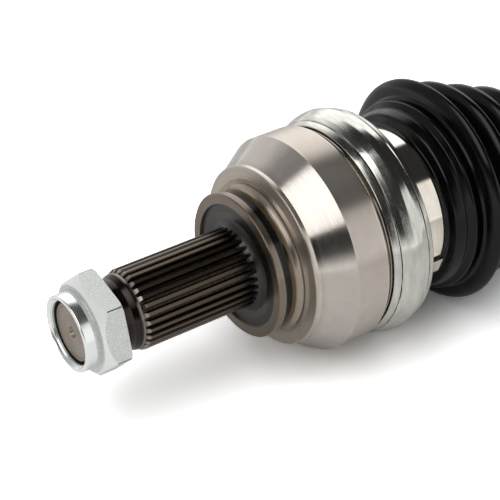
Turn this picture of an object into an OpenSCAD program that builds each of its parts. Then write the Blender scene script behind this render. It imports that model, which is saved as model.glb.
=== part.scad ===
// Half shaft of a driven axle: a fixed ball joint with a splined hub stub at one
// end, a plunging tripod joint with a plug-in stub at the other, and a bar between.
// +X runs along the shaft from the hub nut to the gearbox stub, +Z is up, and the
// origin is on the shaft's axis in the plane of the shoulder the wheel bearing meets.

/* [Whole shaft] */
// Distance between the centres of the two joints
centre_distance = 430; // [330:1:700]
// Radius of the bar
bar_r = 12.5; // [10:0.1:12.8]
// Running clearance between pieces that fit together
fit_gap = 0.05; // [0.02:0.01:0.08]
// Clearance between a boot and the piece of another body it sits on
soft_gap = 0.3; // [0.2:0.05:0.5]

/* [Hub nut] */
// Width across the flats of the hexagon
nut_flats = 35; // [33:0.5:37]
// Height of the hexagon
nut_hex_h = 9.7; // [8:0.1:14]
// Outer radius of the collar that is staked to the stub
nut_collar_r = 14.6; // [14:0.1:16]
// Height of the collar
nut_collar_h = 6; // [4:0.1:9]
// Turn of the hexagon about the shaft
nut_turn = 16; // [0:1:59]

/* [Hub stub] */
// Radius of the threaded end
thread_r = 12; // [11:0.1:12.5]
// How far the collar stands past the end of the thread
thread_recess = 2.4; // [1:0.1:5]
// Number of spline teeth
spline_teeth = 30; // [24:1:36]
// Radius over the spline teeth
spline_tip_r = 15.58; // [15.3:0.01:15.8]
// Depth of the spline teeth
spline_depth = 1.2; // [0.8:0.1:1.4]
// Length of the spline, with its run-out
spline_len = 44.5; // [30:0.5:60]
// Length of the plain neck between the nut and the spline
neck_len = 8.5; // [5:0.5:15]
// Radius of the neck at the nut
neck_r = 13.6; // [13:0.1:14.2]
// Length of the fillet between the spline and the shoulder
root_fillet = 5; // [3:0.5:6]

/* [Bell] */
// Radius of the shoulder the wheel bearing meets
shoulder_r = 28.56; // [27:0.1:29]
// Radius of the shallow recess in the shoulder
shoulder_recess_r = 24; // [22:0.1:25]
// Depth of that recess
shoulder_recess = 1; // [0.5:0.1:1.5]
// Width of the land behind the shoulder
land_w = 2.8; // [2:0.1:3.5]
// Radius of the seal groove
groove_r = 27; // [26:0.1:27.5]
// Width of the seal groove
groove_w = 3.8; // [3:0.1:4]
// Radius of the seal seat
seat_r = 30.3; // [29.5:0.1:31]
// Width of the seal seat, with its hollow flank
seat_w = 4.7; // [4:0.1:5]
// Radius of the step behind the seal seat
step_r = 35.6; // [35:0.1:36.2]
// Width of that step
step_w = 2; // [1.5:0.1:2.5]
// Radius of the bell's outside
bell_r = 43; // [42.6:0.1:43.2]
// Length of the cone between the step and the bell's outside
cone_len = 10.4; // [8:0.1:11]
// Length of the bell's cylinder
bell_len = 13.6; // [12:0.1:14]
// Radius of the spigot that carries the can
spigot_r = 40.5; // [40:0.1:40.8]
// Length of the spigot
spigot_len = 5.4; // [5:0.1:6]

/* [Ball joint] */
// Distance from the shoulder to the centre of the ball joint
ball_centre_x = 35; // [34.5:0.5:35.5]
// Number of balls
balls = 6; // [6:1:6]
// Radius of a ball
ball_r = 8.73; // [8.4:0.01:8.8]
// Radius of the circle that the ball centres lie on
ball_circle_r = 29.5; // [29:0.1:29.7]
// Offset of the centres of the tracks from the centre of the joint
track_offset = 4.5; // [3:0.1:5]
// Clearance round a ball in its track
track_gap = 0.15; // [0.12:0.01:0.2]
// Clearance of a ball in its cage window, along the shaft
window_gap = 0.12; // [0.1:0.01:0.15]
// Spherical radius inside the bell
bell_sphere_r = 33.4; // [33:0.1:33.6]
// Thickness of the cage
cage_t = 4.8; // [4.5:0.1:5]
// Half width of the cage
cage_half_w = 13; // [12.5:0.1:13.5]
// Length of the inner race towards the hub
race_left = 11; // [10:0.1:12]
// Length of the inner race towards the bar
race_right = 9; // [8:0.1:9.5]

/* [Can] */
// Thickness of the sheet the can is pressed from
can_t = 1.6; // [1.2:0.1:1.8]
// How far the can's ring bulges past its front edge
can_bulge = 3.45; // [2.5:0.05:5]
// Width of the can's crimped ring
can_ring_w = 19; // [17:0.5:22]
// Outer radius of the can's neck
can_neck_r = 29.3; // [29:0.1:30]

/* [Boots] */
// Wall of a boot
boot_wall = 1.6; // [1.3:0.1:2]
// Thickness of a clamp band
band_t = 0.8; // [0.6:0.1:1]
// Width of a large clamp band
band_w = 10.5; // [8:0.5:11]
// Width of a small clamp band
small_band_w = 7; // [6:0.5:8]
// How far the largest fold of the ball joint's boot stands past the can
boot_stand = 0.4; // [-1:0.1:1]
// Distance from one fold to the next on that boot
outer_pitch = 13; // [12:0.5:15]
// Distance from one fold to the next on the boot of the tripod joint
inner_pitch = 14; // [12:0.5:15]
// Depth of the largest fold of a boot
fold_depth = 9.5; // [7:0.5:11]
// How full the boot of the tripod joint stays before it narrows to the bar
inner_fullness = 2.5; // [1:0.1:3]
// Number of folds of each boot
boot_folds = 6; // [5:1:7]

/* [Tripod joint] */
// Distance from the joint's centre to the middle of a roller
roller_circle_r = 23; // [22.8:0.1:23.5]
// Radius of a roller
roller_r = 16.5; // [16.3:0.1:16.7]
// Width of a roller
roller_w = 11.6; // [10.4:0.1:11.8]
// Clearance of a roller in its track
roller_gap = 0.4; // [0.38:0.01:0.5]
// Radius of a trunnion
trunnion_r = 9; // [8.5:0.1:9.2]
// Number of needles under each roller
needles = 24; // [20:1:24]
// Radius of a needle
needle_r = 1.15; // [1:0.01:1.2]
// Wall of the tulip outside a track
lobe_wall = 3.8; // [3.4:0.1:4.2]
// Radius of the tulip between its lobes
waist_r = 29.5; // [29:0.1:30]
// Radius of the passage between the tracks
passage_r = 21; // [20.8:0.1:21.5]
// Distance from the joint's centre to the tulip's mouth
mouth_len = 30; // [28:0.5:32]
// Distance from the joint's centre to the bottom of the tulip
bottom_len = 43; // [42:0.5:50]
// Thickness of the tulip's bottom
bottom_t = 10; // [9:0.5:14]

/* [Gearbox stub] */
// Radius of the journal that the gearbox seal runs on
journal_r = 20; // [18:0.1:22]
// Length of that journal
journal_len = 20; // [15:0.5:25]
// Radius over the stub's spline teeth
stub_tip_r = 14; // [13:0.1:15]
// Number of the stub's spline teeth
stub_teeth = 26; // [22:1:30]
// Length of the stub's spline
stub_len = 34; // [28:0.5:42]

/* [Hidden] */
$fn = 96;
// A length that lets one cut run cleanly past a face
past = 1;

// Hub stub, from the shoulder towards the nut, so these places are negative
spline_x = -(spline_len + 4);
nut_x = spline_x - neck_len;
rim_x = nut_x - nut_hex_h - nut_collar_h;
stub_end_x = rim_x + thread_recess;
spline_root_r = spline_tip_r - spline_depth;
neck_step_r = spline_root_r + 0.15;
neck_bevel = 1.6;
nut_corner_bevel = 3.4;
nut_lip = 1.7;
edge = 0.4;

// Bell, from the shoulder towards the bar
groove_x = land_w;
seat_x = groove_x + groove_w + 1.1;
step_x = seat_x + seat_w - 1.1;
cone_x = step_x + step_w + 1.5;
cylinder_x = cone_x + cone_len;
bell_rim_x = cylinder_x + bell_len;
spigot_x = bell_rim_x + 2.6;
mouth_x = spigot_x + spigot_len;
cone_step_r = step_r + 0.9;
bell_rim_r = bell_r - 1.5;
bell_bottom_x = 8;

// Ball joint
track_r = norm([ball_circle_r, track_offset]);
cage_outer_r = bell_sphere_r - 0.15;
cage_inner_r = cage_outer_r - cage_t;
race_r = cage_inner_r - 0.15;
race_tip_r = bar_r + 0.4;
race_teeth = 24;
race_tooth_depth = 1;
collar_r = bar_r + 2.2;
collar_w = 3;
shaft_end_x = ball_centre_x - race_left - 3;
window_w = 2 * (ball_r + window_gap);
window_len = 2 * (ball_r + 0.9);

// Circlips
clip_t = 1.4;
clip_depth = 1;
clip_stand = 1.1;

// Can
can_x = spigot_x + 0.6;
can_ring_end_x = can_x + can_ring_w;
can_neck_x = can_ring_end_x + 2;
can_front_r = spigot_r + fit_gap + can_t;
can_r = can_front_r + can_bulge;
outer_boot_r = can_r + boot_stand;

// Outer boot and its clamps
outer_collar_x = can_neck_x + 0.4;
outer_band_x = can_neck_x + 1;
can_end_x = outer_band_x + band_w + 1.5;
collar_t = boot_wall + 0.1;
outer_collar_r = can_neck_r + fit_gap + collar_t;
outer_lip_x = outer_band_x + band_w + fit_gap;
outer_fold_x = outer_lip_x + 18;
outer_small_x = outer_fold_x + outer_pitch * (boot_folds - 0.5);
boot_seat_r = bar_r + 0.6;
boot_end_r = boot_seat_r + soft_gap + collar_t;
seat_rib_r = boot_seat_r + 0.9;
seat_rib_w = 2;
boot_end_w = small_band_w + 3;

// Tripod joint
tripod_x = ball_centre_x + centre_distance;
track_hole_r = roller_r + roller_gap;
lobe_r = track_hole_r + lobe_wall;
blend_r = (lobe_r * lobe_r - pow(roller_circle_r, 2) - waist_r * waist_r + roller_circle_r * waist_r)
        / (2 * waist_r - roller_circle_r - 2 * lobe_r);
tulip_x = tripod_x - mouth_len;
tulip_bottom_x = tripod_x + bottom_len;
tulip_back_x = tulip_bottom_x + bottom_t;
passage_flare_r = passage_r + 5.2;
passage_flare_len = 20;
roller_bore_r = trunnion_r + 2 * (needle_r + 0.1);
spider_r = roller_circle_r - roller_w / 2 - 0.2;
spider_half_w = 10;
washer_t = 1;
washer_r = roller_bore_r + 1.2;
washer_at = roller_circle_r + roller_w / 2 + 0.3;
trunnion_clip_at = washer_at + washer_t + fit_gap;
trunnion_len = trunnion_clip_at + clip_t + 1.4;
spider_bore_tip_r = race_tip_r;
spider_end_x = tripod_x + spider_half_w + 4;

// Inner boot, its bush and clamps
bush_r = roller_circle_r + lobe_r + 1.6;
bush_w = 15;
bush_x = tulip_x + 1;
inner_collar_r = bush_r + soft_gap + collar_t;
inner_fold_x = tulip_x - 1;
inner_small_x = inner_fold_x - inner_pitch * (boot_folds - 0.5);

// Gearbox stub
deflector_seat_x = tulip_back_x + 1.5;
deflector_seat_w = 6.5;
deflector_seat_r = journal_r + 2;
journal_x = deflector_seat_x + deflector_seat_w;
journal_end_x = journal_x + journal_len;
stub_x = journal_end_x + 3;
stub_tooth_depth = 1.1;
stub_clip_at = 5;
stub_end_r = stub_tip_r - stub_tooth_depth - 0.5;
stub_tip_x = stub_x + stub_len;
deflector_r = journal_r + 9;

// Turns a shape drawn about Z so that its axis lies along X, and moves it to x.
module along_x(x = 0) { translate([x, 0, 0]) rotate([90, 0, 90]) children(); }

// A round piece from a profile of [place along X, radius] points.
module turned(points) {
  rotate([0, 90, 0]) rotate_extrude() polygon([for (p = points) [p[1], p[0]]]);
}

// A plain ring along X.
module ring(x, w, inner, outer) {
  turned([[x, inner], [x, outer], [x + w, outer], [x + w, inner]]);
}

// Points on an arc about a centre, in a profile's own coordinates.
function arc_points(cx, cy, r, from, to, steps = 8) =
  [for (i = [0:steps]) let (a = from + (to - from) * i / steps) [cx + r * cos(a), cy + r * sin(a)]];

// Outline of a toothed shaft: each tooth has sloping flanks and a flat tip.
function tooth_outline(teeth, tip, root) =
  [for (i = [0:teeth - 1]) let (pitch = 360 / teeth)
    for (q = [[-0.39, root], [-0.2, tip], [0.2, tip], [0.39, root]])
      let (a = pitch * (i + q[0])) [q[1] * cos(a), q[1] * sin(a)]];

// A toothed bar from x to x + len.
module toothed(x, len, teeth, tip, root) {
  along_x(x) linear_extrude(len) polygon(tooth_outline(teeth, tip, root));
}

// An open spring ring that lies in a groove round the shaft.
module open_clip(x, inner) {
  difference() {
    ring(x, clip_t, inner, inner + clip_depth + clip_stand);
    translate([x - past, -2, 0]) cube([clip_t + 2 * past, 4, 2 * inner]);
  }
}

// A clamp band with its folded ear standing at an angle round the shaft.
module clamp_band(x, w, inner, turn) {
  ear_w = 7;
  ear_h = 2.6;
  ear_l = w - 1.6;
  ring(x, w, inner, inner + band_t);
  rotate([-turn, 0, 0]) translate([x + (w - ear_l) / 2, -ear_w / 2, inner + 0.2]) difference() {
    cube([ear_l, ear_w, ear_h]);
    translate([-past, band_t, band_t]) cube([ear_l + 2 * past, ear_w - 2 * band_t, ear_h - 2 * band_t]);
  }
}

// Groove of a ball track: a ring's sector about a centre on the shaft's axis.
module ball_track(x, turn, from, to) {
  translate([x, 0, 0]) rotate([-turn, 0, 0]) rotate([90, 0, 0]) rotate([0, 0, 90 + from])
    rotate_extrude(angle = to - from) translate([track_r, 0]) circle(ball_r + track_gap);
}

// Folds of a boot as a wave with broad crests and narrow hollows. It may start half a
// fold before the first crest, and crests and hollows come in towards the small end.
function fold_wave(x0, pitch, from, crest, hollow, small_r, fullness = 1) =
  [for (i = [0:8 * (boot_folds - 0.5 - from)]) let (
     s = from + i / 8,
     share = pow(max(s, 0) / (boot_folds - 0.5), fullness),
     out = crest + (small_r + 4 - crest) * share,
     in = hollow + (small_r - hollow) * share)
    [x0 + pitch * s, in + (out - in) * pow((1 + cos(360 * s)) / 2, 0.64)]];

// A bellows from its outer line. A second line further in closes it, further where a flank
// is steep, so that the wall stays about as thick there.
module bellows(outer) {
  last = len(outer) - 1;
  inner = [for (i = [last:-1:0]) let (run = outer[min(i + 1, last)] - outer[max(i - 1, 0)])
    [outer[i][0], max(outer[i][1] - boot_wall * min(norm(run) / run[0], 1.9), seat_rib_r + 0.15)]];
  turned(concat(outer, inner));
}

// Outline of the tulip: three round lobes joined by hollow blends, which bite into the
// lobes by a hair so that the arcs cross cleanly instead of only touching.
module tulip_outline(grow = 0) {
  blend_at = waist_r + blend_r;
  bite = 0.06;
  for (i = [0:2]) rotate(120 * i) translate([roller_circle_r, 0]) circle(lobe_r + grow);
  difference() {
    polygon([for (i = [0:5]) let (a = 60 * i, d = i % 2 == 0 ? roller_circle_r : blend_at)
      [d * cos(a), d * sin(a)]]);
    for (i = [0:2]) rotate(60 + 120 * i) translate([blend_at, 0]) circle(blend_r + bite - grow);
  }
}

// Places children on each trunnion, with their own Z along it.
module on_trunnion(i) { translate([tripod_x, 0, 0]) rotate([-120 * i, 0, 0]) children(); }

module intermediate_shaft() {
  color("dimgray") difference() {
    union() {
      toothed(shaft_end_x, ball_centre_x + race_right - shaft_end_x, race_teeth,
              race_tip_r, race_tip_r - race_tooth_depth);
      turned([
        [ball_centre_x + race_right, 0],
        [ball_centre_x + race_right, collar_r - edge],
        [ball_centre_x + race_right + edge, collar_r],
        [ball_centre_x + race_right + collar_w, collar_r],
        [ball_centre_x + race_right + collar_w + 3, bar_r],
        [outer_small_x - seat_rib_w - 3, bar_r],
        [outer_small_x - seat_rib_w, seat_rib_r],
        [outer_small_x, seat_rib_r],
        [outer_small_x, boot_seat_r],
        [outer_small_x + boot_end_w, boot_seat_r],
        [outer_small_x + boot_end_w, seat_rib_r],
        [outer_small_x + boot_end_w + seat_rib_w, seat_rib_r],
        [outer_small_x + boot_end_w + seat_rib_w + 3, bar_r],
        [inner_small_x - boot_end_w - seat_rib_w - 3, bar_r],
        [inner_small_x - boot_end_w - seat_rib_w, seat_rib_r],
        [inner_small_x - boot_end_w, seat_rib_r],
        [inner_small_x - boot_end_w, boot_seat_r],
        [inner_small_x, boot_seat_r],
        [inner_small_x, seat_rib_r],
        [inner_small_x + seat_rib_w, seat_rib_r],
        [inner_small_x + seat_rib_w + 3, bar_r],
        [tripod_x - spider_half_w - 3, bar_r],
        [tripod_x - spider_half_w, collar_r],
        [tripod_x - spider_half_w, 0]]);
      toothed(tripod_x - spider_half_w, spider_end_x - tripod_x + spider_half_w, race_teeth,
              race_tip_r, race_tip_r - race_tooth_depth);
    }
    for (x = [ball_centre_x - race_left - fit_gap - clip_t, tripod_x + spider_half_w + fit_gap])
      ring(x, clip_t, race_tip_r - race_tooth_depth - clip_depth, race_tip_r + past);
  }
}

module outer_inner_race() {
  color("gainsboro") difference() {
    translate([ball_centre_x, 0, 0]) sphere(race_r);
    translate([ball_centre_x - race_left - race_r, -race_r, -race_r]) cube([race_r, 2 * race_r, 2 * race_r]);
    translate([ball_centre_x + race_right, -race_r, -race_r]) cube([race_r, 2 * race_r, 2 * race_r]);
    toothed(shaft_end_x - past, 2 * race_r, race_teeth, race_tip_r + fit_gap,
            race_tip_r - race_tooth_depth + fit_gap);
    for (i = [0:balls - 1]) ball_track(ball_centre_x - track_offset, 360 / balls * i, -60, 60);
  }
}

module outer_race_circlip() {
  color("dimgray")
    open_clip(ball_centre_x - race_left - fit_gap - clip_t, race_tip_r - race_tooth_depth - clip_depth + fit_gap);
}

module outer_clamp_small() {
  color("lightgray")
    clamp_band(outer_small_x + (boot_end_w - small_band_w) / 2, small_band_w, boot_end_r + fit_gap, 60);
}

module spider() {
  color("silver") difference() {
    union() {
      ring(tripod_x - spider_half_w, 2 * spider_half_w, 0, spider_r);
      for (i = [0:2]) on_trunnion(i) {
        cylinder(h = trunnion_len - edge, r = trunnion_r);
        translate([0, 0, trunnion_len - edge]) cylinder(h = edge, r1 = trunnion_r, r2 = trunnion_r - edge);
      }
    }
    toothed(tripod_x - spider_half_w - past, 2 * (spider_half_w + past), race_teeth,
            race_tip_r + fit_gap, race_tip_r - race_tooth_depth + fit_gap);
    for (i = [0:2]) on_trunnion(i) translate([0, 0, trunnion_clip_at]) difference() {
      cylinder(h = clip_t, r = trunnion_r + past);
      translate([0, 0, -past]) cylinder(h = clip_t + 2 * past, r = trunnion_r - clip_depth);
    }
  }
}

module spider_circlip() {
  color("dimgray")
    open_clip(tripod_x + spider_half_w + fit_gap, race_tip_r - race_tooth_depth - clip_depth + fit_gap);
}

// The needles under roller i.
module roller_needles(i) {
  needle_len = roller_w - 1.6;
  color("silver") on_trunnion(i - 1) for (k = [0:needles - 1])
    rotate(360 / needles * k) translate([trunnion_r + needle_r + 0.1, 0, roller_circle_r - needle_len / 2])
      cylinder(h = needle_len, r = needle_r, $fn = 16);
}

module trunnion_washers() {
  color("silver") for (i = [0:2]) on_trunnion(i) translate([0, 0, washer_at]) difference() {
    cylinder(h = washer_t, r = washer_r);
    translate([0, 0, -past]) cylinder(h = washer_t + 2 * past, r = trunnion_r + fit_gap);
  }
}

module trunnion_circlips() {
  color("dimgray") for (i = [0:2]) on_trunnion(i) translate([0, 0, trunnion_clip_at + fit_gap]) difference() {
    cylinder(h = clip_t - 2 * fit_gap, r = trunnion_r + clip_stand);
    translate([0, 0, -past]) cylinder(h = clip_t + 2 * past, r = trunnion_r - clip_depth + fit_gap);
    translate([0, -1.5, -past]) cube([2 * trunnion_r, 3, clip_t + 2 * past]);
  }
}

module inner_clamp_small() {
  color("lightgray")
    clamp_band(inner_small_x - boot_end_w + (boot_end_w - small_band_w) / 2, small_band_w,
               boot_end_r + fit_gap, 60);
}

module hub_nut() {
  corner_r = nut_flats / 2 / cos(30);
  // The corners of a pressed hexagon stay a little short of sharp ones
  edge_r = 0.955 * corner_r;
  hex_front = rim_x + nut_collar_h;
  color("silver") difference() {
    union() {
      intersection() {
        along_x(hex_front) rotate(90 - nut_turn) cylinder(h = nut_hex_h, r = corner_r, $fn = 6);
        turned([[hex_front, 0], [hex_front, nut_flats / 2 - 1.3], [hex_front + nut_corner_bevel, edge_r],
                [nut_x - 0.8, edge_r], [nut_x, edge_r - 1], [nut_x, 0]]);
      }
      turned(concat(
        [[hex_front + past, thread_r]],
        [[hex_front + past, nut_collar_r + 1], [hex_front, nut_collar_r + 0.7],
         [hex_front - 0.25, nut_collar_r + 0.25], [hex_front - 0.9, nut_collar_r]],
        arc_points(rim_x + 1.2, nut_collar_r - 1.2, 1.2, 90, 180, 5),
        [[rim_x, nut_collar_r - 1.4], [rim_x + nut_lip, thread_r]]));
    }
    ring(rim_x - past, nut_collar_h + nut_hex_h + 2 * past, 0, thread_r + fit_gap);
  }
}

// The bell's outside with the shoulder, seal seat and stub, as one turned profile.
module housing_profile() {
  turned(concat(
    [[stub_end_x, 0], [stub_end_x, thread_r - 1], [stub_end_x + 1, thread_r], [nut_x, thread_r],
     [nut_x, neck_r], [nut_x + neck_len - 3.5, neck_r + 0.2], [spline_x - 1.4, neck_step_r],
     [spline_x, neck_step_r], [spline_x + 0.3, spline_root_r], [-root_fillet + 1, spline_root_r]],
    arc_points(-root_fillet + 1, spline_root_r + 5.6, 5.6, -84, -18, 6),
    [[shoulder_recess, shoulder_recess_r - 3], [shoulder_recess, shoulder_recess_r],
     [0, shoulder_recess_r + 0.5], [0, shoulder_r - edge], [edge, shoulder_r], [land_w, shoulder_r],
     [groove_x + 0.5, groove_r], [groove_x + groove_w, groove_r]],
    arc_points(seat_x - 0.2, groove_r + 3.6, 3, -96, -30, 5),
    [[step_x - 1.3, seat_r], [step_x, seat_r + 0.3], [step_x, step_r - edge], [step_x + edge, step_r],
     [step_x + step_w, step_r], [cone_x, cone_step_r], [cylinder_x, bell_r], [bell_rim_x, bell_r],
     [bell_rim_x + 2.2, bell_rim_r], [spigot_x, bell_rim_r], [spigot_x, spigot_r],
     [mouth_x - 0.6, spigot_r], [mouth_x, spigot_r - 0.6], [mouth_x, 0]]));
}

module outer_housing() {
  color("darkgray") difference() {
    union() {
      housing_profile();
      intersection() {
        toothed(spline_x, -spline_x, spline_teeth, spline_tip_r, spline_root_r - 0.3);
        turned([[spline_x, 0], [spline_x, neck_step_r], [spline_x + neck_bevel, spline_tip_r + 0.1],
                [0, spline_tip_r + 0.1], [0, 0]]);
      }
    }
    // Centre drilling in the end of the stub
    turned([[stub_end_x - past, 0], [stub_end_x - past, 3], [stub_end_x + 1.6, 1.4],
            [stub_end_x + 5, 1.4], [stub_end_x + 6, 0]]);
    // Hollow of the bell
    intersection() {
      translate([ball_centre_x, 0, 0]) sphere(bell_sphere_r);
      translate([bell_bottom_x, -bell_r, -bell_r]) cube([mouth_x, 2 * bell_r, 2 * bell_r]);
    }
    turned([[mouth_x - 1.5, 0], [mouth_x - 1.5, bell_sphere_r - 2.6], [mouth_x + past, bell_sphere_r],
            [mouth_x + past, 0]]);
    for (i = [0:balls - 1]) ball_track(ball_centre_x + track_offset, 360 / balls * i, -60, 42);
  }
}

// The can: a front flange, a bulge with a fine line on each side, a rear flange and the neck.
module outer_can() {
  rear_x = can_ring_end_x;
  root_r = can_neck_r + 1.6;
  color("silver") turned(concat(
    [[can_x, spigot_r + fit_gap], [can_x, can_front_r - edge], [can_x + edge, can_front_r],
     [can_x + 2.8, can_front_r + 1.1], [can_x + 3.2, can_front_r + 0.75], [can_x + 3.6, can_front_r + 1.3],
     [can_x + 5, can_r - 1.1], [can_x + 7, can_r - 0.45], [can_x + 9, can_r - 0.1], [can_x + 11, can_r],
     [rear_x - 6, can_r - 0.5], [rear_x - 4.5, can_r - 1], [rear_x - 4.2, can_r - 1.5],
     [rear_x - 3.7, can_r - 1.2], [rear_x - 1.6, can_r - 2.2], [rear_x - 0.4, can_r - 3.4],
     [rear_x, can_r - 4.6], [rear_x + 0.2, can_r - 8], [rear_x + 0.4, root_r]],
    arc_points(rear_x + 2, root_r, 1.6, 180, 270, 5),
    [[can_end_x, can_neck_r], [can_end_x, can_neck_r - can_t]],
    arc_points(rear_x + 2, root_r, 1.6 + can_t, 270, 180, 6),
    [[rear_x - can_t, can_r - 8], [rear_x - can_t - 0.1, can_r - 5], [rear_x - can_t - 0.7, can_r - 2.2 - can_t],
     [rear_x - 4.4, can_r - 1.4 - can_t], [can_x + 11, can_r - can_t], [can_x + 7.4, can_r - 0.7 - can_t],
     [can_x + 6, can_r - 1.7 - can_t], [mouth_x + 0.4, spigot_r + 1.2], [mouth_x - 0.4, spigot_r + fit_gap]]));
}

module outer_boot() {
  lip_r = outer_collar_r + 1.2;
  color("black") {
    turned([[outer_collar_x, can_neck_r + fit_gap], [outer_collar_x, outer_collar_r + 1],
            [outer_band_x - fit_gap, outer_collar_r + 1], [outer_band_x - fit_gap, outer_collar_r],
            [outer_lip_x, outer_collar_r], [outer_lip_x, lip_r],
            [outer_lip_x + 2, lip_r], [outer_lip_x + 2, can_neck_r + fit_gap]]);
    bellows(concat(
      [[outer_lip_x + 2, lip_r], [outer_lip_x + 6, lip_r + 2.9]],
      arc_points(outer_lip_x + 10.7, lip_r + 5.1, 1.6, 125, 20, 6),
      [[outer_lip_x + 12.8, lip_r + 4.6], [outer_lip_x + 13.4, lip_r + 6], [outer_lip_x + 14, lip_r + 7.8]],
      fold_wave(outer_fold_x, outer_pitch, -0.25, outer_boot_r, outer_boot_r - fold_depth, boot_end_r + 0.6)));
    turned([[outer_small_x, boot_seat_r + soft_gap], [outer_small_x, boot_end_r + 0.6],
            [outer_small_x + 1.2, boot_end_r], [outer_small_x + boot_end_w - 0.2, boot_end_r],
            [outer_small_x + boot_end_w - 0.2, boot_seat_r + soft_gap]]);
  }
}

module outer_clamp_large() {
  color("lightgray") clamp_band(outer_band_x, band_w, outer_collar_r + fit_gap, 252);
}

module outer_cage() {
  color("silver") difference() {
    translate([ball_centre_x, 0, 0]) sphere(cage_outer_r);
    translate([ball_centre_x, 0, 0]) sphere(cage_inner_r);
    for (side = [0, 1]) mirror([side, 0, 0]) translate([(side == 0 ? 1 : -1) * ball_centre_x + cage_half_w,
      -cage_outer_r, -cage_outer_r]) cube([cage_outer_r, 2 * cage_outer_r, 2 * cage_outer_r]);
    for (i = [0:balls - 1]) translate([ball_centre_x, 0, 0]) rotate([-360 / balls * i, 0, 0])
      cage_window();
  }
}

// A window with rounded corners, cut outwards through the cage.
module cage_window() {
  corner_r = 3;
  linear_extrude(cage_outer_r + past) union() {
    square([window_w, window_len - 2 * corner_r], center = true);
    square([window_w - 2 * corner_r, window_len], center = true);
    for (sx = [-1, 1], sy = [-1, 1])
      translate([sx * (window_w / 2 - corner_r), sy * (window_len / 2 - corner_r)]) circle(corner_r);
  }
}

// Ball i of the ball joint; ball 1 is at the top.
module ball(i) {
  color("whitesmoke") translate([ball_centre_x, 0, 0]) rotate([-360 / balls * (i - 1), 0, 0])
    translate([0, 0, ball_circle_r]) sphere(ball_r);
}

module inner_boot() {
  mouth = tulip_x - soft_gap;
  clamp_at = bush_x + (bush_w - band_w) / 2 - fit_gap;
  crest = bush_r - 0.5;
  color("black") {
    turned([[mouth - collar_t, crest - boot_wall - 0.5], [mouth - collar_t, inner_collar_r + 1],
            [clamp_at, inner_collar_r + 1], [clamp_at, inner_collar_r], [bush_x + bush_w, inner_collar_r],
            [bush_x + bush_w, bush_r + soft_gap], [mouth, bush_r + soft_gap], [mouth, crest - boot_wall - 0.5]]);
    mirror([1, 0, 0])
      bellows(concat([[-mouth, crest]],
        fold_wave(-inner_fold_x, inner_pitch, 0, crest, crest - fold_depth + 1.5, boot_end_r + 0.6, inner_fullness)));
    turned([[inner_small_x - boot_end_w + 0.2, boot_seat_r + soft_gap],
            [inner_small_x - boot_end_w + 0.2, boot_end_r], [inner_small_x - 1.2, boot_end_r],
            [inner_small_x, boot_end_r + 0.6], [inner_small_x, boot_seat_r + soft_gap]]);
  }
}

// Roller i of the tripod joint: a spherical rim on a plain bore; roller 1 is at the top.
module roller(i) {
  color("silver") on_trunnion(i - 1) translate([0, 0, roller_circle_r]) difference() {
    intersection() {
      sphere(roller_r);
      translate([0, 0, -roller_w / 2]) cylinder(h = roller_w, r = roller_r + past);
    }
    translate([0, 0, -roller_w]) cylinder(h = 2 * roller_w, r = roller_bore_r);
  }
}

module tripod_tulip() {
  color("gray") difference() {
    union() {
      intersection() {
        translate([tulip_x, 0, 0]) rotate([0, -90, 180]) linear_extrude(tulip_back_x - tulip_x) tulip_outline();
        turned([[tulip_x, 0], [tulip_x, roller_circle_r + lobe_r - 1], [tulip_x + 1, roller_circle_r + lobe_r + 0.1],
                [tulip_bottom_x - 4, roller_circle_r + lobe_r + 0.1], [tulip_back_x, journal_r + 12],
                [tulip_back_x, 0]]);
      }
      turned([[tulip_back_x - past, 0], [tulip_back_x - past, journal_r + 4], [deflector_seat_x, journal_r + 4],
              [deflector_seat_x, deflector_seat_r], [journal_x, deflector_seat_r], [journal_x, journal_r],
              [journal_end_x - 1, journal_r], [journal_end_x, journal_r - 1], [journal_end_x, stub_tip_r + 1],
              [stub_x, stub_end_r], [stub_tip_x, stub_end_r], [stub_tip_x, 0]]);
      intersection() {
        toothed(stub_x, stub_len, stub_teeth, stub_tip_r, stub_tip_r - stub_tooth_depth);
        turned([[stub_x, 0], [stub_x, stub_tip_r + 0.1], [stub_tip_x - 2, stub_tip_r + 0.1],
                [stub_tip_x, stub_end_r], [stub_tip_x, 0]]);
      }
    }
    // Three tracks and the passage between them
    for (i = [0:2]) on_trunnion(i) translate([0, 0, roller_circle_r]) rotate([0, 90, 0])
      translate([0, 0, -mouth_len - past]) cylinder(h = mouth_len + bottom_len + past, r = track_hole_r);
    turned([[tulip_x - past, 0], [tulip_x - past, passage_flare_r + 0.3], [tulip_x + passage_flare_len, passage_r],
            [tulip_bottom_x, passage_r], [tulip_bottom_x, 0]]);
    // Groove for the ring that holds the stub in the gearbox
    ring(stub_tip_x - stub_clip_at - clip_t, clip_t, stub_end_r - clip_depth, stub_tip_r + past);
    turned([[stub_tip_x + past, 0], [stub_tip_x + past, 3], [stub_tip_x - 1.6, 1.4],
            [stub_tip_x - 5, 1.4], [stub_tip_x - 6, 0]]);
  }
}

module inner_boot_bush() {
  color("dimgray") difference() {
    ring(bush_x, bush_w, 0, bush_r);
    translate([bush_x - past, 0, 0]) rotate([0, -90, 180]) linear_extrude(bush_w + 2 * past)
      tulip_outline(fit_gap);
  }
}

module inner_clamp_large() {
  color("lightgray")
    clamp_band(bush_x + (bush_w - band_w) / 2, band_w, inner_collar_r + fit_gap, 60);
}

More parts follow.
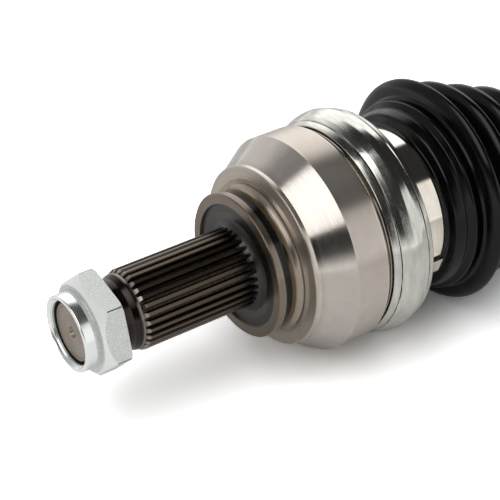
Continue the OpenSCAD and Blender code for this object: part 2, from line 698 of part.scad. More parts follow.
module dust_deflector() {
  seat = deflector_seat_r + fit_gap;
  color("dimgray") turned([
    [deflector_seat_x, seat], [deflector_seat_x, deflector_r - 2], [deflector_seat_x + 2, deflector_r],
    [deflector_seat_x + 4, deflector_r], [deflector_seat_x + 4, deflector_r - 1],
    [deflector_seat_x + 2.4, deflector_r - 1], [deflector_seat_x + 1, deflector_r - 2.4],
    [deflector_seat_x + 1, seat + 1], [journal_x - 1, seat + 1], [journal_x - 1, seat]]);
}

module stub_circlip() {
  color("dimgray")
    open_clip(stub_tip_x - stub_clip_at - clip_t, stub_end_r - clip_depth + fit_gap);
}

intermediate_shaft();
outer_inner_race();
outer_race_circlip();
outer_clamp_small();
spider();
spider_circlip();
trunnion_washers();
trunnion_circlips();
inner_clamp_small();
hub_nut();
outer_housing();
outer_can();
outer_boot();
outer_clamp_large();
outer_cage();
for (i = [1:6]) ball(i);
inner_boot();
for (i = [1:3]) roller(i);
for (i = [1:3]) roller_needles(i);
tripod_tulip();
inner_boot_bush();
inner_clamp_large();
dust_deflector();
stub_circlip();
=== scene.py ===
"""Dresses the drive shaft and sets it in a white studio, seen from its hub end.

Places are along the shaft in millimetres, from the shoulder that the wheel bearing meets, as in the part's
source. Angles round the shaft are counted from +Z towards +Y.
"""

from __future__ import annotations

import logging
import math
from dataclasses import dataclass
from enum import Enum
from typing import Any

import bpy
import numpy as np
from mathutils import Matrix, Quaternion, Vector

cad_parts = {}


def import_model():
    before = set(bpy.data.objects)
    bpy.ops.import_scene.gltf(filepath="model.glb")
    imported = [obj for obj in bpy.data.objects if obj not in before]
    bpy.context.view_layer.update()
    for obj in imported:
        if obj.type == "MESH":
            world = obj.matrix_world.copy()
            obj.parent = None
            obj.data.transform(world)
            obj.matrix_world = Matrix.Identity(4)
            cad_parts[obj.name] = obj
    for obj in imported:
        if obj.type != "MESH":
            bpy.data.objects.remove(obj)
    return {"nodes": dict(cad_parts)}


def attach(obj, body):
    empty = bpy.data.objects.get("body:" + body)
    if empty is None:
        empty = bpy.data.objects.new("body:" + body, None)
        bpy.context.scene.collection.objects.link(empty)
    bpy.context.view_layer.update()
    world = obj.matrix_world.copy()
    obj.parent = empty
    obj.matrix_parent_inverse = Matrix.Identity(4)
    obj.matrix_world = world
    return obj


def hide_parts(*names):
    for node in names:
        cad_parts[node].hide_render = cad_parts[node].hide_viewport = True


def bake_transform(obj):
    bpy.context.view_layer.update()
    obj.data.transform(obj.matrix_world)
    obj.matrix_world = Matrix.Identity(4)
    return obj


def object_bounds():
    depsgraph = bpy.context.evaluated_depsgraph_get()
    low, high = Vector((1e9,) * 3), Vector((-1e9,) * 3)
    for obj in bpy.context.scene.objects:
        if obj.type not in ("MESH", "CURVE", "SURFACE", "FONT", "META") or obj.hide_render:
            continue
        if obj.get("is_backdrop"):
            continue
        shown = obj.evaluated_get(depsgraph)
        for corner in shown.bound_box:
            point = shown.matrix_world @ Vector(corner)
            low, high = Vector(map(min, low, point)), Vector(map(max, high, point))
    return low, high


LOG = logging.getLogger("drive_shaft")
MM = 0.001
NOISE_ROUGHNESS = 0.55

Tree = bpy.types.NodeTree
Node = bpy.types.Node
Socket = bpy.types.NodeSocket
Piece = bpy.types.Object
Colour = tuple[float, float, float, float]
Point = tuple[float, float, float]
Pair = tuple[float, float]
Shades = tuple[str, str]


class Body(str, Enum):
    """The moving bodies that new pieces ride on."""

    SHAFT = "shaft"
    HUB = "hub"
    BELLOWS = "inner_boot_bellows"
    TULIP = "tulip"


class Course(Enum):
    """Which way a pattern runs: alike all ways, in rings round the shaft, or in streaks round it."""

    EVEN = "point"
    RINGS = "lathe"
    STREAKS = "around"


def linear(colour: str) -> Colour:
    """Turns an sRGB hex colour into Blender's linear RGBA.

    Args:
        colour: The colour as "#rrggbb".

    Returns:
        Red, green, blue and an alpha of 1, linear.
    """
    parts = (int(colour[i : i + 2], 16) / 255 for i in (1, 3, 5))
    r, g, b = (c / 12.92 if c <= 0.04045 else ((c + 0.055) / 1.055) ** 2.4 for c in parts)
    return r, g, b, 1.0


def add_node(tree: Tree, kind: str, inputs: dict[str | int, Any] | None = None, **settings: Any) -> Node:
    """Adds one node with its settings, values and links.

    Args:
        tree: The node tree it goes into.
        kind: Blender's name of the node's type, without ShaderNode at its start.
        inputs: What its inputs get, by name or number: a value, a socket, or a node for its first output.
        **settings: The node's own properties.

    Returns:
        The new node.
    """
    node = tree.nodes.new("ShaderNode" + kind)
    for name, value in settings.items():
        setattr(node, name, value)
    for key, value in (inputs or {}).items():
        source = value.outputs[0] if isinstance(value, Node) else value
        if isinstance(source, Socket):
            tree.links.new(source, node.inputs[key])
        else:
            node.inputs[key].default_value = source
    return node


def within(tree: Tree, *edges: tuple[Any, float, float]) -> Node:
    """A mask that is 1 inside all of its soft edges and 0 outside any of them.

    Each edge is a smooth step from 0 to 1, and the mask is their product.

    Args:
        tree: The material's node tree.
        *edges: For each edge, the value that is read, where the mask leaves 0 and where it reaches 1.

    Returns:
        The node with the mask.
    """
    mask = None
    for value, low, high in edges:
        step = add_node(tree, "MapRange", {0: value, 1: low, 2: high}, interpolation_type="SMOOTHSTEP")
        mask = step if mask is None else add_node(tree, "Math", {0: mask, 1: step}, operation="MULTIPLY")
    return mask


def layered(tree: Tree, ground: Any, *layers: tuple[Any, str]) -> Socket:
    """Lays colours over a ground, one after another.

    Args:
        tree: The material's node tree.
        ground: The colour under them, linear, or a node with it.
        *layers: For each layer, how much of it shows and its hex colour.

    Returns:
        The socket of the colour with all of them on it.
    """
    for share, colour in layers:
        mix = {0: share, 6: ground, 7: linear(colour)}
        ground = add_node(tree, "Mix", mix, data_type="RGBA").outputs[2]
    return ground


def embossed(tree: Tree, *layers: tuple[Any, float]) -> Node:
    """Lays reliefs over one another, the coarsest first.

    Args:
        tree: The material's node tree.
        *layers: For each relief, its height from 0 to 1 and its depth in millimetres.

    Returns:
        The node whose normal has all of them.
    """
    relief = None
    for height, depth in layers:
        bump = {"Distance": depth * MM, "Height": height}
        relief = add_node(tree, "Bump", bump if relief is None else bump | {"Normal": relief})
    return relief


def turned_gloss(tree: Tree, amount: float) -> dict[str, Any]:
    """Stretches a metal's reflections across the marks of the lathe, which run round the shaft.

    Args:
        tree: The material's node tree.
        amount: How far, from 0 to 1.

    Returns:
        What the shader's inputs get for it.
    """
    round_x = add_node(tree, "Tangent", direction_type="RADIAL", axis="X")
    return {"Anisotropic": amount, "Anisotropic Rotation": 0.25, "Tangent": round_x}


@dataclass(frozen=True)
class ShaftPlaces:
    """Where a point lies on a turned piece, in millimetres, as sockets of a material."""

    point: Socket
    along: Socket
    radius: Socket
    lathe: Socket
    around: Socket


def shaft_places(tree: Tree, streak_r: float = 9.0) -> ShaftPlaces:
    """Works out a point's place along the shaft and its radius from Object coordinates.

    The lathe vector holds only the place along and the radius, so a pattern on it runs in rings round the
    shaft, on barrels and on end faces alike. The around vector holds the place along and the direction round
    the shaft.

    Args:
        tree: The material's node tree.
        streak_r: The length of that direction; a pattern on a larger radius is drawn into streaks.

    Returns:
        The sockets with these values.
    """
    place = add_node(tree, "TexCoord").outputs["Object"]
    point = add_node(tree, "VectorMath", {0: place, 1: (1 / MM,) * 3}, operation="MULTIPLY")
    along = add_node(tree, "SeparateXYZ", {0: point}).outputs["X"]
    flat = add_node(tree, "VectorMath", {0: point, 1: (0.0, 1.0, 1.0)}, operation="MULTIPLY")
    radius = add_node(tree, "VectorMath", {0: flat}, operation="LENGTH").outputs["Value"]
    lathe = add_node(tree, "CombineXYZ", {0: along, 1: radius})
    turn = add_node(tree, "VectorMath", {0: flat}, operation="NORMALIZE")
    step = add_node(tree, "CombineXYZ", {0: along})
    around = add_node(tree, "VectorMath", {0: turn, 1: (streak_r,) * 3, 2: step}, operation="MULTIPLY_ADD")
    return ShaftPlaces(point.outputs[0], along, radius, lathe.outputs[0], around.outputs[0])


@dataclass(frozen=True)
class Pattern:
    """Noise with lumps of a real size."""

    lump_mm: float
    octaves: float = 3.0
    course: Course = Course.EVEN

    def add(self, tree: Tree, at: ShaftPlaces) -> Node:
        """Adds the noise, round 0.5, to a material."""
        size = {"Scale": 1 / self.lump_mm, "Detail": self.octaves, "Roughness": NOISE_ROUGHNESS}
        return add_node(tree, "TexNoise", size | {"Vector": getattr(at, self.course.value)})

    def run(self, tree: Tree, at: ShaftPlaces, low: float, high: float) -> Node:
        """Adds the noise so that it runs from low to high, which it reaches at 0.3 and 0.7."""
        return add_node(tree, "MapRange", {0: self.add(tree, at), 1: 0.3, 2: 0.7, 3: low, 4: high})


Reliefs = tuple[tuple[Pattern, float], ...]


@dataclass(frozen=True)
class Finish:
    """A named finish: its subclasses say what the real surface is and how it shades."""

    name: str

    def material(self) -> bpy.types.Material:
        """Makes the material once and returns it."""
        found = bpy.data.materials.get(self.name)
        if found:
            return found
        made = bpy.data.materials.new(self.name)
        made.use_nodes = True
        tree = made.node_tree
        tree.nodes.clear()
        shader = add_node(tree, "BsdfPrincipled", self.surface(tree, shaft_places(tree)))
        add_node(tree, "OutputMaterial", {"Surface": shader})
        return made

    def surface(self, tree: Tree, at: ShaftPlaces) -> dict[str, Any]:
        """Works out what the shader's inputs get.

        Args:
            tree: The material's node tree.
            at: Where a point lies on the shaft.

        Returns:
            Values, nodes and sockets by the names of the Principled shader's inputs.
        """
        raise NotImplementedError


@dataclass(frozen=True)
class BrightZinc(Finish):
    """Zinc plate on a pressed and turned nut: the flats keep the bar's grain and look satin, the chamfer is
    smoother, the turned collar mirrors the studio's dark side, and the thread and the six corners are painted
    dark: painted shade for the shadow in the collar's mouth, and a painted dark reflection along the corners."""

    chamfer_x: float
    chamfer_r: float
    chamfer_slope: float
    collar_r: float
    corner_r: Pair = (20.04, 20.1)
    thread_r: Pair = (12.4, 12.25)
    colour: str = "#eff1ef"
    shade: str = "#b8bcb9"
    shade_share: float = 0.8
    # painted shade: the thread's dark colour stands for the shadow inside the collar's mouth
    thread: str = "#3a3d3c"
    # painted reflection: a dark line along the six rounded corners, for the dark that they mirror
    corner: str = "#565a58"
    coat_metal: float = 0.55
    flat_rough: float = 0.6
    chamfer_rough: float = 0.46
    collar_rough: float = 0.26
    grain: Pattern = Pattern(0.4)
    grain_depth: float = 0.03
    rings: Pattern = Pattern(0.4, 2.0, Course.RINGS)
    ring_depth: float = 0.003

    def surface(self, tree: Tree, at: ShaftPlaces) -> dict[str, Any]:
        """Grain on the flats only, which start where the chamfer's cone is left, faint tool rings, and painted
        shade on the thread and the corners.

        The cone is left where x less the slope times the radius past the chamfer's own is more than its x.
        """
        cone = {0: at.radius, 1: -self.chamfer_slope, 2: self.chamfer_slope * self.chamfer_r}
        reach = add_node(tree, "Math", cone, operation="MULTIPLY_ADD")
        past = add_node(tree, "Math", {0: at.along, 1: reach}, operation="ADD")
        flat = within(tree, (past, self.chamfer_x + 0.05, self.chamfer_x + 0.2))
        outer = within(tree, (at.radius, self.collar_r + 0.15, self.collar_r + 0.6))
        shown = {0: self.grain.run(tree, at, self.shade_share, 0.0), 1: flat}
        specks = add_node(tree, "Math", shown, operation="MULTIPLY")
        height = add_node(tree, "Math", {0: self.grain.add(tree, at), 1: flat}, operation="MULTIPLY")
        turned = add_node(tree, "Mix", {0: outer, 2: self.collar_rough, 3: self.chamfer_rough})
        return {
            "Base Color": layered(
                tree,
                linear(self.colour),
                (specks, self.shade),
                # painted shade in the nut's mouth, then the painted dark reflection along the corners
                (within(tree, (at.radius, *self.thread_r)), self.thread),
                (within(tree, (at.radius, *self.corner_r)), self.corner),
            ),
            "Metallic": add_node(tree, "Mix", {0: outer, 2: 1.0, 3: self.coat_metal}),
            "Roughness": add_node(tree, "Mix", {0: flat, 2: turned, 3: self.flat_rough}),
            "Normal": embossed(tree, (self.rings.add(tree, at), self.ring_depth), (height, self.grain_depth)),
        }


@dataclass(frozen=True)
class ZincSheet(Finish):
    """Pressed sheet with bright zinc: a silver whose slight waves pull the reflections into streaks, with
    dark lines painted where the spinning tool left a step, for dirt and painted shade in the steps."""

    lines: tuple[float, ...]
    colour: str = "#d4d3cc"
    shade: str = "#bab9b1"
    # dirt and painted shade: the colour of the dark lines in the steps
    step_dirt_and_shade: str = "#2a2b29"
    line_half: float = 0.24
    line_core: float = 0.1
    rough: Pair = (0.2, 0.12)
    streaks: Pattern = Pattern(1.6, course=Course.STREAKS)
    streak_depth: float = 0.02
    rings: Pattern = Pattern(0.35, 2.0, Course.RINGS)
    ring_depth: float = 0.012
    mottle: Pattern = Pattern(0.9)
    mottle_depth: float = 0.003
    wander: Pattern = Pattern(6.0, 2.0)
    wander_mm: float = 0.12
    gloss_stretch: float = 0.4

    def surface(self, tree: Tree, at: ShaftPlaces) -> dict[str, Any]:
        """Streaks round the shaft, a mottled gloss and the spinning tool's lines, painted dark as dirt and
        shade in its steps.
        """
        shift = self.wander.run(tree, at, -self.wander_mm, self.wander_mm)
        place = add_node(tree, "Math", {0: at.along, 1: shift}, operation="ADD")
        half, core = self.line_half, self.line_core
        # the step lines, where dirt and painted shade are laid on
        marks = [within(tree, (place, x - half, x - core), (place, x + half, x + core)) for x in self.lines]
        streaked = (self.streaks.run(tree, at, 0.0, 1.0), self.colour)
        return turned_gloss(tree, self.gloss_stretch) | {
            "Metallic": 1.0,
            "Base Color": layered(tree, linear(self.shade), streaked, *((mark, self.step_dirt_and_shade) for mark in marks)),
            "Roughness": self.mottle.run(tree, at, *self.rough),
            "Normal": embossed(
                tree,
                (self.streaks.add(tree, at), self.streak_depth),
                (self.rings.add(tree, at), self.ring_depth),
                (self.mottle.add(tree, at), self.mottle_depth),
            ),
        }


@dataclass(frozen=True)
class Stretch:
    """A stretch of a turned surface with its own tint and gloss."""

    start: float
    colour: str
    rough: float


@dataclass(frozen=True)
class TurnedForging(Finish):
    """Forged and turned steel under a film of oil: warm grey where it is polished, dark where the oil or the
    hardening has stained it, darker still between the spline teeth with oil and painted shade, and with the
    rings of the turning tool, which show most in front of the bell.

    The pairs of places are soft edges: where a mask leaves 0 and where it reaches 1."""

    stretches: tuple[Stretch, ...]
    span: Pair = (-75.0, 50.0)
    recess: str = "#3b3d3d"
    recess_r: Pair = (24.6, 24.2)
    recess_front: Pair = (-3.0, -1.0)
    recess_rear: Pair = (1.5, 1.3)
    # oil and painted shade: the near-black between the spline teeth
    root_oil_and_shade: str = "#17130f"
    root_r: Pair = (15.3, 14.4)
    spline_front: Pair = (-49.2, -48.0)
    spline_rear: Pair = (-3.0, -4.5)
    oil: str = "#4a4038"
    smears: Pattern = Pattern(5.0)
    smear_share: float = 0.09
    line: str = "#5a5048"
    line_share: float = 0.4
    bell_line_share: float = 0.07
    bell_x: Pair = (9.0, 3.0)
    rings: Pattern = Pattern(0.5, 2.0, Course.RINGS)
    ring_rough: float = 0.03
    ring_depth: float = 0.004
    gloss_stretch: float = 0.8

    def ramp(self, tree: Tree, at: ShaftPlaces, values: list[Colour]) -> Node:
        """Runs through the stretches' values along the shaft.

        Args:
            tree: The material's node tree.
            at: Where a point lies on the shaft.
            values: A colour for each stretch, which holds at its start.

        Returns:
            The ramp.
        """
        first, last = self.span
        share = add_node(tree, "MapRange", {0: at.along, 1: first, 2: last})
        ramp = add_node(tree, "ValToRGB", {0: share})
        elements = ramp.color_ramp.elements
        elements.remove(elements[-1])
        for number, (stretch, value) in enumerate(zip(self.stretches, values)):
            place = (stretch.start - first) / (last - first)
            element = elements.new(place) if number else elements[0]
            element.position, element.color = place, value
        return ramp

    def surface(self, tree: Tree, at: ShaftPlaces) -> dict[str, Any]:
        """The stretches, the dark recess round the stub, and oil with painted shade between the spline teeth.
        """
        tint = self.ramp(tree, at, [linear(s.colour) for s in self.stretches])
        gloss = self.ramp(tree, at, [(s.rough, s.rough, s.rough, 1.0) for s in self.stretches])
        recess = within(
            tree,
            (at.radius, *self.recess_r),
            (at.along, *self.recess_front),
            (at.along, *self.recess_rear),
        )
        # between the spline teeth: oil and painted shade
        oiled_shaded_roots = within(
            tree,
            (at.radius, *self.root_r),
            (at.along, *self.spline_front),
            (at.along, *self.spline_rear),
        )
        smeared = self.smears.run(tree, at, 0.0, self.smear_share)
        front = within(tree, (at.along, *self.bell_x))
        share = add_node(tree, "Mix", {0: front, 2: self.bell_line_share, 3: self.line_share})
        shown = {0: self.rings.run(tree, at, 0.0, 1.0), 1: share}
        lines = add_node(tree, "Math", shown, operation="MULTIPLY")
        uneven = self.rings.run(tree, at, -self.ring_rough, self.ring_rough)
        layers = ((recess, self.recess), (oiled_shaded_roots, self.root_oil_and_shade), (smeared, self.oil), (lines, self.line))
        return turned_gloss(tree, self.gloss_stretch) | {
            "Metallic": 1.0,
            "Base Color": layered(tree, tint, *layers),
            "Roughness": add_node(tree, "Math", {0: gloss, 1: uneven}, operation="ADD"),
            "Normal": embossed(tree, (self.rings.add(tree, at), self.ring_depth)),
        }


@dataclass(frozen=True)
class ScaledForging(Finish):
    """Raw forging with its dark scale: matt and pitted, and turned bright from one place on."""

    turned_from: float
    scale: str = "#3b3a39"
    worn: str = "#54514e"
    bare: str = "#a9a39c"
    scale_rough: float = 0.5
    bare_rough: float = 0.22
    clouds: Pattern = Pattern(8.0)
    pits: Pattern = Pattern(1.3, 5.0)
    pit_depth: float = 0.06
    rings: Pattern = Pattern(0.45, 2.0, Course.RINGS)
    ring_share: float = 0.1

    def surface(self, tree: Tree, at: ShaftPlaces) -> dict[str, Any]:
        """Pitted scale, and turned steel behind it."""
        turned = within(tree, (at.along, self.turned_from - 0.2, self.turned_from + 0.2))
        faint = {0: self.rings.add(tree, at), 1: self.ring_share}
        rings = add_node(tree, "Math", faint, operation="MULTIPLY")
        height = add_node(tree, "Mix", {0: turned, 2: self.pits.add(tree, at), 3: rings})
        clouded = (self.clouds.run(tree, at, 0.0, 1.0), self.worn)
        return {
            "Metallic": 1.0,
            "Base Color": layered(tree, linear(self.scale), clouded, (turned, self.bare)),
            "Roughness": add_node(tree, "Mix", {0: turned, 2: self.scale_rough, 3: self.bare_rough}),
            "Normal": embossed(tree, (height, self.pit_depth)),
        }


@dataclass(frozen=True)
class EvenFinish(Finish):
    """A finish that is alike all over: a tint and a gloss that vary a little, and one or more fine reliefs.

    Its pairs of colours, shares and roughnesses hold where their pattern is low and where it is high.
    Without a gloss pattern the gloss follows the tint's, and without shares that pattern is the share itself.
    """

    colours: Shades
    tint: Pattern
    rough: Pair
    reliefs: Reliefs
    gloss: Pattern | None = None
    shares: Pair | None = (0.0, 1.0)
    ior: float | None = None

    def surface(self, tree: Tree, at: ShaftPlaces) -> dict[str, Any]:
        """Tint, gloss and relief from the finish's own patterns; it is a metal if it has no IOR."""
        tint = self.tint.run(tree, at, *self.shares) if self.shares else self.tint.add(tree, at)
        return ({"Metallic": 1.0} if self.ior is None else {"IOR": self.ior}) | {
            "Base Color": layered(tree, linear(self.colours[0]), (tint, self.colours[1])),
            "Roughness": (self.gloss or self.tint).run(tree, at, *self.rough),
            "Normal": embossed(tree, *((pattern.add(tree, at), depth) for pattern, depth in self.reliefs)),
        }


@dataclass(frozen=True)
class StainlessStrap(EvenFinish):
    """Rolled stainless strip: bright, with fine rolling lines along the strip and a faint handling film."""

    colours: Shades = ("#d9d0c4", "#eae4d8")
    tint: Pattern = Pattern(4.0, course=Course.STREAKS)
    rough: Pair = (0.12, 0.06)
    reliefs: Reliefs = ((Pattern(0.3, 2.0, Course.RINGS), 0.002),)


@dataclass(frozen=True)
class MouldedRubber(EvenFinish):
    """Neoprene from a polished mould: black and half glossy, with a faint bloom in patches, faint mould rings
    and the skin's own grain."""

    colours: Shades = ("#030303", "#080808")
    tint: Pattern = Pattern(7.0, 4.0)
    rough: Pair = (0.15, 0.24)
    reliefs: Reliefs = (
        (Pattern(1.3, 1.0, Course.RINGS), 0.02),
        (Pattern(0.7), 0.003),
    )
    shares: Pair | None = (0.0, 0.8)
    ior: float | None = 1.33


@dataclass(frozen=True)
class StovedPaint(EvenFinish):
    """Black stoved paint: an even dark gloss with a thick coat's slight orange peel, about 2 mm across."""

    colours: Shades = ("#111213", "#1c1d1f")
    tint: Pattern = Pattern(2.0, 2.0)
    rough: Pair = (0.3, 0.4)
    gloss: Pattern | None = Pattern(9.0)
    reliefs: Reliefs = ((Pattern(2.0, 2.0), 0.03),)
    shares: Pair | None = None
    ior: float | None = 1.5


@dataclass(frozen=True)
class GroundSteel(EvenFinish):
    """Hardened and ground steel: close-grained grinding marks, and a cloudy tint from its heat treatment."""

    colours: Shades = ("#8d8a86", "#b4b1ad")
    tint: Pattern = Pattern(3.0)
    rough: Pair = (0.17, 0.26)
    gloss: Pattern | None = Pattern(0.35, 2.0, Course.RINGS)
    reliefs: Reliefs = ((Pattern(0.35, 2.0, Course.RINGS), 0.004),)


@dataclass(frozen=True)
class MouldedPlastic(EvenFinish):
    """Moulded polyamide: dark, dull, with its mould's texture of about half a millimetre."""

    colours: Shades = ("#26282b", "#303236")
    tint: Pattern = Pattern(0.5)
    rough: Pair = (0.5, 0.6)
    reliefs: Reliefs = ((Pattern(0.5), 0.03),)
    shares: Pair | None = None
    ior: float | None = 1.53


@dataclass(frozen=True)
class PhosphatedSteel(EvenFinish):
    """Steel with a grey-black phosphate coat under oil: soft in its shine, its crystals drawn coarser than
    they are so that they show."""

    colours: Shades = ("#2e3030", "#454746")
    tint: Pattern = Pattern(0.5, 4.0)
    rough: Pair = (0.34, 0.48)
    reliefs: Reliefs = ((Pattern(0.5, 4.0), 0.015),)


@dataclass(frozen=True)
class Grid:
    """A surface worked out on a grid: its vertices and faces."""

    points: np.ndarray
    faces: list[tuple[int, ...]]

    def mesh(self, name: str, sharp_degrees: float) -> Piece:
        """Makes a mesh object of the surface, smooth except at edges sharper than an angle.

        Args:
            name: The piece's name.
            sharp_degrees: Edges that turn more than this stay sharp.

        Returns:
            The new object, at the origin.
        """
        mesh = bpy.data.meshes.new(name)
        mesh.from_pydata((self.points * MM).tolist(), [], self.faces)
        mesh.polygons.foreach_set("use_smooth", np.ones(len(mesh.polygons), bool))
        mesh.update()
        mesh.validate()
        mesh.set_sharp_from_angle(angle=math.radians(sharp_degrees))
        made = bpy.data.objects.new(name, mesh)
        bpy.context.scene.collection.objects.link(made)
        return made


def loop_faces(rows: int, turns: int) -> list[tuple[int, ...]]:
    """The faces of a grid that closes on itself both ways.

    Args:
        rows: How many rows it has.
        turns: How many points each row has.

    Returns:
        The faces as numbers of their vertices.
    """
    i, j = np.meshgrid(np.arange(rows), np.arange(turns), indexing="ij")
    i2, j2 = (i + 1) % rows, (j + 1) % turns
    corners = [i * turns + j, i2 * turns + j, i2 * turns + j2, i * turns + j2]
    return np.stack(corners, axis=-1).reshape(-1, 4).tolist()


def turned_loop(line: np.ndarray, turns: int) -> Grid:
    """A ring-shaped solid: a closed profile carried round the shaft's axis.

    Each profile point (x, r) goes to (x, r sin t, r cos t) for every angle t of a full turn. The profile runs
    towards +X outside and back inside, so that the faces point outwards.

    Args:
        line: The profile's points [x, r] in millimetres, without the first one again at the end.
        turns: How many steps the full turn has.

    Returns:
        The surface.
    """
    angle = np.linspace(0, 2 * np.pi, turns, endpoint=False)
    x = np.repeat(line[:, :1], turns, axis=1)
    r = line[:, 1:]
    points = np.stack([x, r * np.sin(angle), r * np.cos(angle)], axis=-1).reshape(-1, 3)
    return Grid(points, loop_faces(len(line), turns))


def rounded(corners: list[tuple[float, float, float]], steps: int = 5) -> np.ndarray:
    """A profile whose corners are rounded: each corner becomes an arc that meets both its sides.

    The arc starts and ends at a distance from the corner of radius over the tangent of half the angle there.
    It is drawn as a quadratic curve between these ends, with the corner as its middle point.

    Args:
        corners: Points (x, r, radius of the corner) of an open line.
        steps: How many pieces each arc has.

    Returns:
        The profile's points [x, r].
    """
    out = [np.array(corners[0][:2])]
    for before, here, after in zip(corners, corners[1:], corners[2:]):
        p, q, s = (np.array(c[:2], float) for c in (before, here, after))
        if here[2] <= 0:
            out.append(q)
            continue
        to_p, to_s = (p - q) / np.linalg.norm(p - q), (s - q) / np.linalg.norm(s - q)
        half = np.arccos(np.clip(to_p @ to_s, -1, 1)) / 2
        cut = min(here[2] / math.tan(half), 0.48 * np.linalg.norm(p - q), 0.48 * np.linalg.norm(s - q))
        t = np.linspace(0, 1, steps + 1)[:, None]
        out.extend((1 - t) ** 2 * (q + cut * to_p) + 2 * t * (1 - t) * q + t**2 * (q + cut * to_s))
    out.append(np.array(corners[-1][:2]))
    return np.array(out)


def carried(piece: Piece, finish: Finish) -> None:
    """Gives a new piece its material.

    Args:
        piece: The piece.
        finish: Its finish.
    """
    piece.data.materials.append(finish.material())


@dataclass(frozen=True)
class Folds:
    """The folds of a bellows boot along the shaft."""

    first_crest: float
    pitch: float
    count: int
    start: float
    crest_r: float
    hollow_r: float
    end_r: float
    taper: float
    wall: float = 1.6
    crest_width: float = 0.64
    last_depth: float = 4.0

    def line(self, steps: int = 26) -> np.ndarray:
        """The outer line of the folds, from the large end to the small one.

        The place s counts folds from the first crest. Crests and hollows come in to the small end as s over
        the last s, to the power taper. Between them the radius follows half a cosine, raised to a power below
        1 so that crests are broad and hollows narrow.

        Args:
            steps: Points for each fold.

        Returns:
            Points [s, radius].
        """
        last = self.count - 0.5
        s = np.linspace(self.start, last, int((last - self.start) * steps) + 1)
        share = np.clip(s / last, 0, 1) ** self.taper
        out = self.crest_r + (self.end_r + self.last_depth - self.crest_r) * share
        inner = self.hollow_r + (self.end_r - self.hollow_r) * share
        wave = ((1 + np.cos(2 * np.pi * s)) / 2) ** self.crest_width
        return np.stack([s, inner + (out - inner) * wave], axis=1)


def walled(outer: np.ndarray, wall: float) -> np.ndarray:
    """Closes a boot's outer line with an inner one that lies one wall further in.

    The inner point is the outer one moved along the line's own normal, so the wall stays even on the flanks.

    Args:
        outer: Points [x, r] from small x to large x.
        wall: The wall's thickness.

    Returns:
        The closed profile, outside first.
    """
    run = np.gradient(outer, axis=0)
    run /= np.linalg.norm(run, axis=1, keepdims=True)
    inner = outer + wall * np.stack([run[:, 1], -run[:, 0]], axis=1)
    inner[0], inner[-1] = outer[0] - [0, wall], outer[-1] - [0, wall]
    inner[:, 0] = np.maximum.accumulate(inner[:, 0])
    return np.concatenate([outer, inner[::-1][::2]])


@dataclass
class OuterBoot:
    """The bellows boot of the ball joint, with its collar on the can's neck and its end on the bar."""

    finish: Finish
    collar_x: float = 63.4
    band_x: float = 64.0
    band_w: float = 10.5
    inner_r: float = 29.35
    collar_r: float = 31.05
    small_r: float = 15.1
    small_inner_r: float = 13.4
    small_w: float = 10.0
    folds: Folds = Folds(92.55, 13.0, 6, -0.22, 46.0, 36.5, 15.7, 1.0)
    turns: int = 128

    def line(self) -> np.ndarray:
        """The boot's closed profile: lip, collar, flank with its two rings, folds and the end on the bar."""
        collar, hollow = self.collar_r, self.folds.hollow_r
        lip = self.band_x + self.band_w + 0.05
        front = rounded(
            [
                (self.collar_x, self.inner_r + 0.1, 0),
                (self.collar_x, collar + 1.0, 0.5),
                (self.band_x - 0.1, collar + 1.0, 0.5),
                (self.band_x - 0.1, collar, 0),
                (lip, collar, 0),
                (lip, collar + 1.3, 0.5),
                (lip + 2.0, collar + 1.4, 0.9),
                (lip + 3.2, collar + 4.7, 1.8),
                (lip + 6.9, collar + 5.9, 1.6),
                (lip + 8.2, collar + 5.6, 0.8),
                (lip + 9.9, collar + 8.2, 1.0),
                (lip + 11.6, collar + 8.0, 1.0),
                (lip + 12.7, hollow - 0.1, 0.7),
                (lip + 13.5, hollow + 2.9, 0.7),
                (lip + 14.3, hollow + 3.7, 0.4),
                (lip + 14.6, hollow + 4.8, 0.0),
            ]
        )
        wave = self.folds.line()
        wave[:, 0] = self.folds.first_crest + self.folds.pitch * wave[:, 0]
        small = wave[-1, 0]
        end = rounded(
            [
                (small, self.small_r + 0.6, 0),
                (small + 1.4, self.small_r + 0.2, 0.6),
                (small + 2.0, self.small_r, 0),
                (small + self.small_w - 0.2, self.small_r, 0.5),
                (small + self.small_w - 0.2, self.small_inner_r, 0),
            ]
        )
        outer = np.concatenate([front, wave])
        thin = outer[np.searchsorted(outer[:, 0], lip + 2.0) :]
        inside = walled(thin, self.folds.wall)[len(thin) :]
        corners = [[small, self.small_inner_r]], [[lip + 2.0, self.inner_r + 0.1]]
        return np.concatenate([outer, end[1:], corners[0], inside, corners[1]])

    def build(self) -> Piece:
        """Makes the boot between the hub and the bar."""
        boot = turned_loop(self.line(), self.turns).mesh("outer_boot_rubber", 50)
        carried(boot, self.finish)
        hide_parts("outer_boot")
        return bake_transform(boot)


